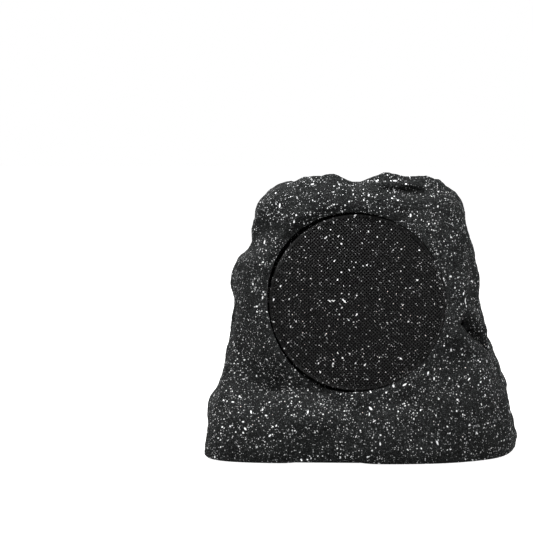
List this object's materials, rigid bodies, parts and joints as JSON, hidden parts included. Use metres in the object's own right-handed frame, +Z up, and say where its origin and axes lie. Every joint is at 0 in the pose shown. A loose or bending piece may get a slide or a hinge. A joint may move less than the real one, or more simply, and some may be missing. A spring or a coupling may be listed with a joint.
{
  "type": "rock garden loudspeaker",
  "caption": "Solar-charged wireless garden loudspeaker in a hollow moulded rock, with a round perforated grille, a rear control plate under a silicone flap and a panel on top",
  "frame": {"origin": "on the ground, under the middle of the overall box", "axes": "+Z is up, +X is to the right when the grille is faced, and the grille faces -Y while the control plate faces +Y"},
  "size_m": [0.259, 0.2069, 0.2289],
  "materials": {
    "rock": "dark stone texture with white flecks",
    "black_plastic": "satin moulded",
    "silicone": "matt grey silicone",
    "black_steel": "black powder coat",
    "rubber": "matt black",
    "paper": "black coated pulp",
    "steel": "zinc plated",
    "ferrite": "sintered ferrite",
    "copper": "enamelled copper winding",
    "solar": "resin over dark cells",
    "circuit": "solder mask",
    "cell": "shrink sleeve",
    "cloth": "black acoustic cloth",
    "screw": "black oxide"
  },
  "bodies": {
    "housing": {"rock_shell": "rock", "base_plate": "black_plastic", "base_seal": "rubber", "base_screw_1": "screw", "base_screw_2": "screw", "base_screw_3": "screw", "base_screw_4": "screw", "base_screw_5": "screw", "base_screw_6": "screw", "foot_front_left": "rubber", "foot_front_right": "rubber", "foot_rear_left": "rubber", "foot_rear_right": "rubber", "grille": "black_steel", "grille_cloth": "cloth", "driver_seal": "rubber", "driver_basket": "black_steel", "driver_surround": "rubber", "spider": "paper", "front_plate": "steel", "magnet": "ferrite", "yoke": "steel", "driver_terminals": "black_plastic", "driver_screw_1": "screw", "driver_screw_2": "screw", "driver_screw_3": "screw", "driver_screw_4": "screw", "control_plate": "black_plastic", "control_seal": "rubber", "control_screw_1": "screw", "control_screw_2": "screw", "control_screw_3": "screw", "control_screw_4": "screw", "control_screw_5": "screw", "control_screw_6": "screw", "cover_anchor": "silicone", "main_board": "circuit", "board_screw_1": "screw", "board_screw_2": "screw", "board_screw_3": "screw", "board_screw_4": "screw", "usb_socket": "steel", "panel_seal": "rubber", "solar_panel": "solar", "battery_cradle": "black_plastic", "battery_cell_front": "cell", "battery_cell_rear": "cell", "speaker_lead": "rubber", "battery_lead": "rubber", "panel_lead": "rubber"},
    "cone": {"driver_cone": "paper", "dust_cap": "rubber", "voice_coil": "copper"},
    "cover": {"port_cover": "silicone"},
    "power_pad": {"pad_power": "silicone"},
    "pair_pad": {"pad_pair": "silicone"},
    "mode_pad": {"pad_mode": "silicone"},
    "power_key": {"key_power": "black_plastic"},
    "pair_key": {"key_pair": "black_plastic"},
    "mode_key": {"key_mode": "black_plastic"}
  },
  "joints": [
    {"name": "cone_travel", "type": "slide", "parent": "housing", "child": "cone", "axis": [0, -0.9848, 0.1736], "range_m": [-0.003, 0.003], "stiffness_N_per_m": 1200, "deforming": ["driver_surround", "spider"]},
    {"name": "cover_hinge", "type": "hinge", "parent": "housing", "child": "cover", "pos_m": [-0.03035, 0.09727, 0.09463], "axis": [0, -0.0698, 0.9976], "range_deg": [0, 110], "stiffness_Nm_per_rad": 0.01},
    {"name": "power_pad_press", "type": "slide", "parent": "cover", "child": "power_pad", "axis": [0, -0.9976, -0.0698], "range_m": [0, 0.0008], "stiffness_N_per_m": 600},
    {"name": "power_key_press", "type": "slide", "parent": "housing", "child": "power_key", "axis": [0, -0.9976, -0.0698], "range_m": [0, 0.0008], "stiffness_N_per_m": 300},
    {"name": "pair_pad_press", "type": "slide", "parent": "cover", "child": "pair_pad", "axis": [0, -0.9976, -0.0698], "range_m": [0, 0.0008], "stiffness_N_per_m": 600},
    {"name": "pair_key_press", "type": "slide", "parent": "housing", "child": "pair_key", "axis": [0, -0.9976, -0.0698], "range_m": [0, 0.0008], "stiffness_N_per_m": 300},
    {"name": "mode_pad_press", "type": "slide", "parent": "cover", "child": "mode_pad", "axis": [0, -0.9976, -0.0698], "range_m": [0, 0.0008], "stiffness_N_per_m": 600},
    {"name": "mode_key_press", "type": "slide", "parent": "housing", "child": "mode_key", "axis": [0, -0.9976, -0.0698], "range_m": [0, 0.0008], "stiffness_N_per_m": 300}
  ],
  "couplings": [
    {"joint": "power_key_press", "follows": "power_pad_press", "ratio": 1},
    {"joint": "pair_key_press", "follows": "pair_pad_press", "ratio": 1},
    {"joint": "mode_key_press", "follows": "mode_pad_press", "ratio": 1}
  ]
}
